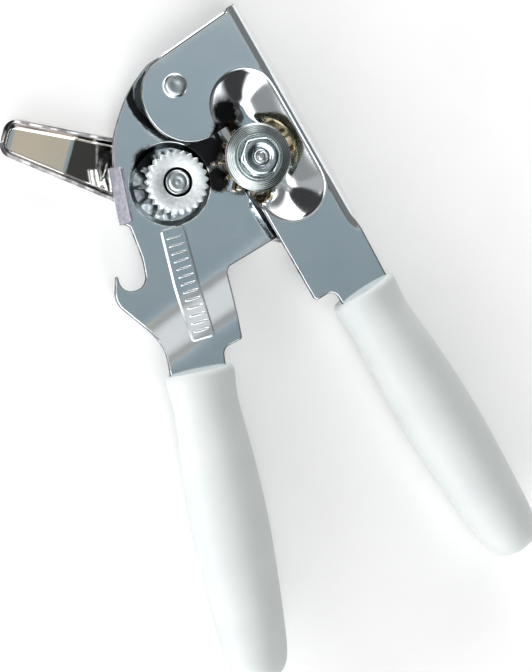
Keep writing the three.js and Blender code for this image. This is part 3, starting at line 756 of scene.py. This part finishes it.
def grip(name, x, y, lean, tilt_frame, body, node, material):
    """A moulded grip: its collar has a shallow dished end round the tang, and its butt is rounded."""
    sides = 72
    mouth = [[1.4, 5.2], [1.1, 6.6], [0.5, 7.6], [0.12, 8.0]]
    rings = []
    for along, half in [*mouth, *GRIP_PROFILE]:
        angles = np.arange(sides) * 2 * math.pi / sides
        rings.append(np.column_stack([
            half * np.cos(angles), np.full(sides, -along), half * GRIP_FLATNESS * np.sin(angles)]))
    points, faces = skin(rings)
    place = tilt_frame @ Matrix.Translation(Vector((x, y, GRIP_HEIGHT)) * MM)
    place = place @ Matrix.Rotation(math.radians(lean), 4, "Z")
    obj = piece(name, points, faces, place, body, material, [node])
    smooth = obj.modifiers.new("smooth", "SUBSURF")
    smooth.levels = smooth.render_levels = 1
    obj.modifiers.move(1, 0)
    return obj


# ---- turned and toothed pieces ----

def rivet_head():
    front = UPPER_FRONT + 0.1
    profile = [[0.15, -2.3], [3.0, -2.3], [3.5, -1.3], [2.6, -1.3], [2.6, front], [3.34, front],
               [3.42, front + 0.15], [3.38, front + 0.4], [3.15, front + 0.64], [2.6, front + 0.85],
               [1.9, front + 0.93], [1.2, front + 0.9], [0.7, front + 0.84], [0.15, front + 0.82]]
    points, faces = lathe(profile)
    return piece("rivet_with_head", points, faces, placed(PIVOT, LOWER_TILT), "lower_handle", ground_steel,
                 ["pivot_rivet"], own_axis=True)


def shaft():
    top = 9.05
    profile = [[0.15, -8.1], [3, -8.1], [3, top - 0.95], [3.32, top - 0.95], [3.34, top - 0.3],
               [3.25, top - 0.1], [3.05, top - 0.02], [2.85, top - 0.05], [2.7, top - 0.14],
               [2.5, top - 0.16], [2.3, top - 0.08], [1.8, top - 0.03], [1.2, top - 0.06],
               [0.9, top - 0.12], [0.6, top - 0.1], [0.15, top - 0.06]]
    points, faces = lathe(profile)
    return piece("drive_shaft_turned", points, faces, WHEEL, "crank", ground_steel,
                 ["drive_shaft"], own_axis=True)


def cutter_disc():
    bore, hub, back, front, radius = 3.7, 5.6, 9.2, 10.0, 9.3
    profile = [[bore, 7.6], [hub, 7.6], [hub, back], [radius - 0.02, back], [radius, back + 0.03],
               [radius - 0.03, back + 0.08], [8.6, back + 0.27], [8.0, back + 0.44], [7.4, back + 0.62],
               [6.95, front - 0.05], [6.8, front - 0.01], [6.6, front], [bore, front], [bore, 7.6]]
    points, faces = lathe(profile, 128)
    return piece("cutting_disc", points, faces, STUD, "cutter", disc_steel,
                 ["cutter_wheel"], own_axis=True)


def stud_end():
    seat, shoulder, end = 1.5, 10.05, 12.75
    profile = [[0.15, 0.5], [2, 0.5], [2, seat], [2.6, seat], [2.6, shoulder], [2, shoulder], [2, end - 0.5],
               [1.92, end - 0.25], [1.7, end - 0.08], [1.45, end - 0.04], [1.3, end - 0.2],
               [1.15, end - 0.22], [1.0, end - 0.06], [0.6, end], [0.15, end - 0.05]]
    points, faces = lathe(profile, 72)
    return piece("stud_turned", points, faces, STUD, "upper_handle", ground_steel,
                 ["cutter_stud"], own_axis=True)


def washer():
    bottom, top = 10.1, 10.5
    profile = [[2.7, bottom], [6.15, bottom], [6.3, bottom + 0.1], [6.3, top - 0.12], [6.2, top - 0.02],
               [6.05, top], [5.75, top - 0.01], [5.6, top - 0.1], [5.5, top - 0.12], [2.7, top - 0.12],
               [2.7, bottom]]
    points, faces = lathe(profile)
    return piece("cutter_washer_ring", points, faces, STUD, "upper_handle", disc_steel,
                 ["cutter_washer"], own_axis=True)


def nut():
    """A hexagon nut with the round chamfer that hides its corners, and a countersunk bore."""
    bottom, height, flats = 10.6, 1.7, 5.0
    corner_reach, chamfer_reach = 5.72, 4.78
    turned_by = math.radians(10)
    count = 144
    angles = np.arange(count) * 2 * math.pi / count
    sector = (angles - turned_by + math.pi / 6) % (math.pi / 3) - math.pi / 6
    hexagon = flats / np.cos(sector)
    top = bottom + height
    rings = []
    for radius, level in ((2.1, bottom), (None, bottom), (None, None), (chamfer_reach, top), (3.5, top),
                          (3.3, top - 0.08), (2.9, top - 0.16), (2.5, top - 0.2), (2.1, top - 0.45)):
        reach = np.full(count, radius) if radius else np.minimum(hexagon, corner_reach)
        height_here = np.full(count, level) if level else top - 0.55 * (reach - chamfer_reach)
        rings.append(np.column_stack([reach * np.cos(angles), reach * np.sin(angles), height_here]))
    points, faces = skin(rings, closed=True)
    return piece("hexagon_nut", points, faces, STUD, "upper_handle", nut_steel,
                 ["cutter_nut"], own_axis=True)


FEED_TEETH = 25


def feed_wheel():
    """The serrated wheel: sharp teeth with eased edges, a frosted face, and near-black shade painted in the
    groove round the shaft.
    """
    per_tooth = 12
    count = FEED_TEETH * per_tooth
    angles = np.arange(count) * 2 * math.pi / count
    phase = (np.arange(count) % per_tooth) / per_tooth
    tooth = np.interp(phase, [0, 0.09, 0.42, 0.5, 0.58, 0.91, 1], [0, 0.12, 0.95, 1, 0.95, 0.12, 0])
    edge = 7.8 + 0.85 * tooth
    back, front = 6.0, 9.05
    groove_depth = 1.0
    rings = []
    steps = [(3.1, 4.6, 0), (6.2, 4.6, 0), (6.2, back, 0), (None, back, 0.15), (None, back + 0.15, 0),
             (None, front - 0.22, 0), (None, front - 0.06, 0.07), (None, front, 0.22), (7.2, front, 0),
             (4.2, front, 0), (4.05, front - 0.06, 0), (4.0, front - 0.2, 0), (3.98, front - groove_depth, 0),
             (3.1, front - groove_depth, 0)]
    for radius, height, less in steps:
        reach = np.full(count, radius) if radius else edge - less
        level = np.full(count, height)
        rings.append(np.column_stack([reach * np.cos(angles), reach * np.sin(angles), level]))
    points, faces = skin(rings, closed=True)
    # faces of the groove, which get the painted shade
    groove = [k for k, face in enumerate(faces)
              if all(math.hypot(*points[i][:2]) < 4.1 and points[i][2] > front - 1.1 * groove_depth
                     for i in face)]
    return piece("serrated_wheel", points, faces, WHEEL, "crank", frosted_zinc,
                 ["feed_wheel"], own_axis=True, others=[(groove_painted_shade, groove)])


# ---- key ----
KEY_RIM = -3.6                      # height of the wings' rim, in front of the plate's front face
KEY_FLOOR = -7.0
KEY_CREASE = [[0, 0], [17, 0], [28, 1.6], [44, 0.8], [60, 0.8]]    # rise of the tray's floor along a wing
KEY_WALL = rounded_profile([[0, 1], [0.85, 0, 0.8], [20, 0]], 8)      # share of the wall's height


def key_loop(less):
    tip, hub, reach, bend = 5.3 - less, 10.1 - less, 47.5 - less, 4 - less
    return anticlockwise(rounded([
        [reach, tip, bend], [0, hub, 14], [-reach, tip, bend], [-reach, -tip, bend], [0, -hub, 14],
        [reach, -tip, bend]], 0.6))


key_edge = key_loop(1.25)


def key_surface(points):
    crease = np.array(KEY_CREASE)
    floor_height = KEY_FLOOR + np.interp(np.abs(points[:, 0]), crease[:, 0], crease[:, 1])
    wall = profile_height(np.maximum(loop_distance(points, key_edge), 0), KEY_WALL)
    return np.column_stack([points, floor_height + (KEY_RIM - floor_height) * wall])


def butterfly_key():
    """The pressed key: a shallow tray of one sheet, each wing creased across."""
    rows = [inset(key_edge, step) for step in (0.12, 0.24, 0.36, 0.48, 0.6, 0.72, 0.84, 1.0, 1.2, 1.5, 1.9)]
    for side in (-1, 1):
        for x in (16.6, 17.4, 27.3, 27.8, 28.2, 28.7, 43.6, 44.4):
            rows.append(np.column_stack([np.full(16, side * x), np.linspace(-7, 7, 16)]))
    points, faces, edge_faces = sheet_metal(
        key_edge, [circle(0, 0, 3.1, 40)], np.concatenate(rows), key_surface, 1.6)
    # faces of the tray's inner wall, which get the painted dark reflection
    depth = loop_distance(points[:, :2], key_edge)
    on_wall = (depth > 0.12) & (depth < 0.8) & (points[:, 2] > KEY_FLOOR + 0.2)
    wall = [k for k, face in enumerate(faces) if all(on_wall[i] for i in face)]
    return piece("butterfly_key", points, faces, KEY, "crank", key_chrome, ["crank_key"],
                 others=[(key_rim_painted_dark, edge_faces), (key_wall_painted_dark, wall)])


# ---- the opener ----
lower_plate()
panel_ribs()
upper_plate()
grip("lower_grip_moulding", -8.7, -76.7, 0, LOWER, "lower_handle", "lower_grip", lower_plastic)
grip("upper_grip_moulding", 18.1, -74.6, 1.9, UPPER, "upper_handle", "upper_grip", upper_plastic)
rivet_head()
shaft()
cutter_disc()
stud_end()
washer()
nut()
feed_wheel()
butterfly_key()
for node_name, finish, ease in (
        ("pivot_spacer", dark_steel, 0.1), ("shaft_bushing", dark_steel, 0.1),
        ("crank_washer", dark_steel, 0.08), ("spring_washer", dark_steel, 0.08),
        ("crank_collar", dark_steel, 0.15), ("cutter_bushing", dark_steel, 0.08),
        ("drive_gear", oiled_zinc, 0.15), ("cutter_gear", bronze_zinc, 0.15)):
    dress(node_name, finish, ease)


# ---- floor, light and camera ----

def floor():
    mesh = bpy.data.meshes.new("floor")
    half = 1.5
    corners = [(-half, -half, 0), (half, -half, 0), (half, half, 0), (-half, half, 0)]
    mesh.from_pydata(corners, [], [(0, 1, 2, 3)])
    obj = bpy.data.objects.new("floor", mesh)
    bpy.context.scene.collection.objects.link(obj)
    obj.location.z = -0.0002
    material, nodes, links, base = shader("pale_floor")
    tone = noise_at(nodes, links, 40, 3)
    links.new(ramp(nodes, links, tone, [(0.3, 0.93), (0.7, 0.96)]), base.inputs["Base Color"])
    base.inputs["Roughness"].default_value = 0.9
    base.inputs["Specular IOR Level"].default_value = 0.1
    mesh.materials.append(material)


def studio():
    """A studio dome painted by direction: a blue-grey ceiling panel that the flat metal mirrors, soft boxes
    round it, a dark gap between them and a white surround low down."""
    world = bpy.data.worlds.new("studio")
    bpy.context.scene.world = world
    world.use_nodes = True
    nodes, links = world.node_tree.nodes, world.node_tree.links
    direction = nodes.new("ShaderNodeTexCoord").outputs["Generated"]
    split = nodes.new("ShaderNodeSeparateXYZ")
    links.new(direction, split.inputs["Vector"])
    sky = ramp(nodes, links, split.outputs["Z"], [(0, 3.2), (0.25, 3.0), (0.4, 2.2), (0.75, 2.2), (1, 2.0)])

    def soft_box(azimuth, elevation, inner, outer, colour):
        """Paints a round patch of the dome, in degrees, over what is there."""
        nonlocal sky
        dot = nodes.new("ShaderNodeVectorMath")
        dot.operation = "DOT_PRODUCT"
        links.new(direction, dot.inputs[0])
        turn, rise = math.radians(azimuth), math.radians(elevation)
        dot.inputs[1].default_value = (
            math.cos(rise) * math.cos(turn), math.cos(rise) * math.sin(turn), math.sin(rise))
        share = nodes.new("ShaderNodeMapRange")
        share.interpolation_type = "SMOOTHSTEP"
        share.inputs["From Min"].default_value = math.cos(math.radians(outer))
        share.inputs["From Max"].default_value = math.cos(math.radians(inner))
        links.new(dot.outputs["Value"], share.inputs["Value"])
        mix = nodes.new("ShaderNodeMixRGB")
        links.new(share.outputs["Result"], mix.inputs["Fac"])
        links.new(sky, mix.inputs["Color1"])
        if hasattr(colour, "name"):
            links.new(colour, mix.inputs["Color2"])
        else:
            mix.inputs["Color2"].default_value = (colour, colour, colour, 1)
        sky = mix.outputs["Color"]

    shifted = calculated(nodes, links, "ADD", split.outputs["Y"], 0.5)
    cream = ramp(nodes, links, shifted, [
        (0.5, (0.18, 0.17, 0.14)), (0.58, (0.36, 0.33, 0.27))])
    panel = ramp(nodes, links, shifted, [
        (0.3, (0.035, 0.042, 0.05)), (0.4, (0.11, 0.13, 0.145)), (0.47, (0.15, 0.185, 0.2)),
        (0.617, (0.225, 0.27, 0.295)), (0.7, (0.35, 0.38, 0.4)), (0.8, (0.6, 0.6, 0.6))])
    # dark flags to the right, for the left walls of the hollows and the inner part of the key
    soft_box(20, 35, 30, 50, 0.13)
    soft_box(-50, 30, 20, 40, 0.03)
    soft_box(-8, 54, 12, 17, 0.03)
    # greys to the left, and a dark flag up there for the lower ends of the hollows
    soft_box(185, 44, 18, 30, 0.3)
    soft_box(222, 50, 12, 24, 0.2)
    soft_box(122, 43, 23, 31, 0.03)
    # a lamp for the top of the pocket, and a dimmer one for the step above the lower grip
    soft_box(272, 46, 9, 18, 1.3)
    soft_box(75, 72, 14, 21, 0.24)
    soft_box(88, 68, 3, 9, 0.5)
    # what the key's outer part and the flat plates mirror
    soft_box(73, 84, 4.5, 6.5, cream)
    soft_box(6, 74.5, 8.5, 11.5, panel)
    background = nodes["Background"]
    links.new(sky, background.inputs["Color"])
    background.inputs["Strength"].default_value = 1.5
    bpy.context.scene.view_settings.view_transform = "Standard"


VIEW_LEAN = math.radians(16)        # of the camera from straight above, towards -X
VIEW_DISTANCE = 0.65
CENTRE_FROM_PIVOT = Vector((0.026249, -0.067595, 0.004))


def camera():
    data = bpy.data.cameras.new("camera")
    data.lens = 127.1
    data.sensor_width = 36
    data.clip_start = 0.01
    obj = bpy.data.objects.new("camera", data)
    bpy.context.scene.collection.objects.link(obj)
    right = Vector((math.cos(VIEW_LEAN), 0, math.sin(VIEW_LEAN)))
    back = Vector((-math.sin(VIEW_LEAN), 0, math.cos(VIEW_LEAN)))
    turn = Matrix((right, Vector((0, 1, 0)), back)).transposed().to_4x4()
    obj.matrix_world = Matrix.Translation(PIVOT + CENTRE_FROM_PIVOT + back * VIEW_DISTANCE) @ turn
    bpy.context.scene.camera = obj


floor()
studio()
camera()
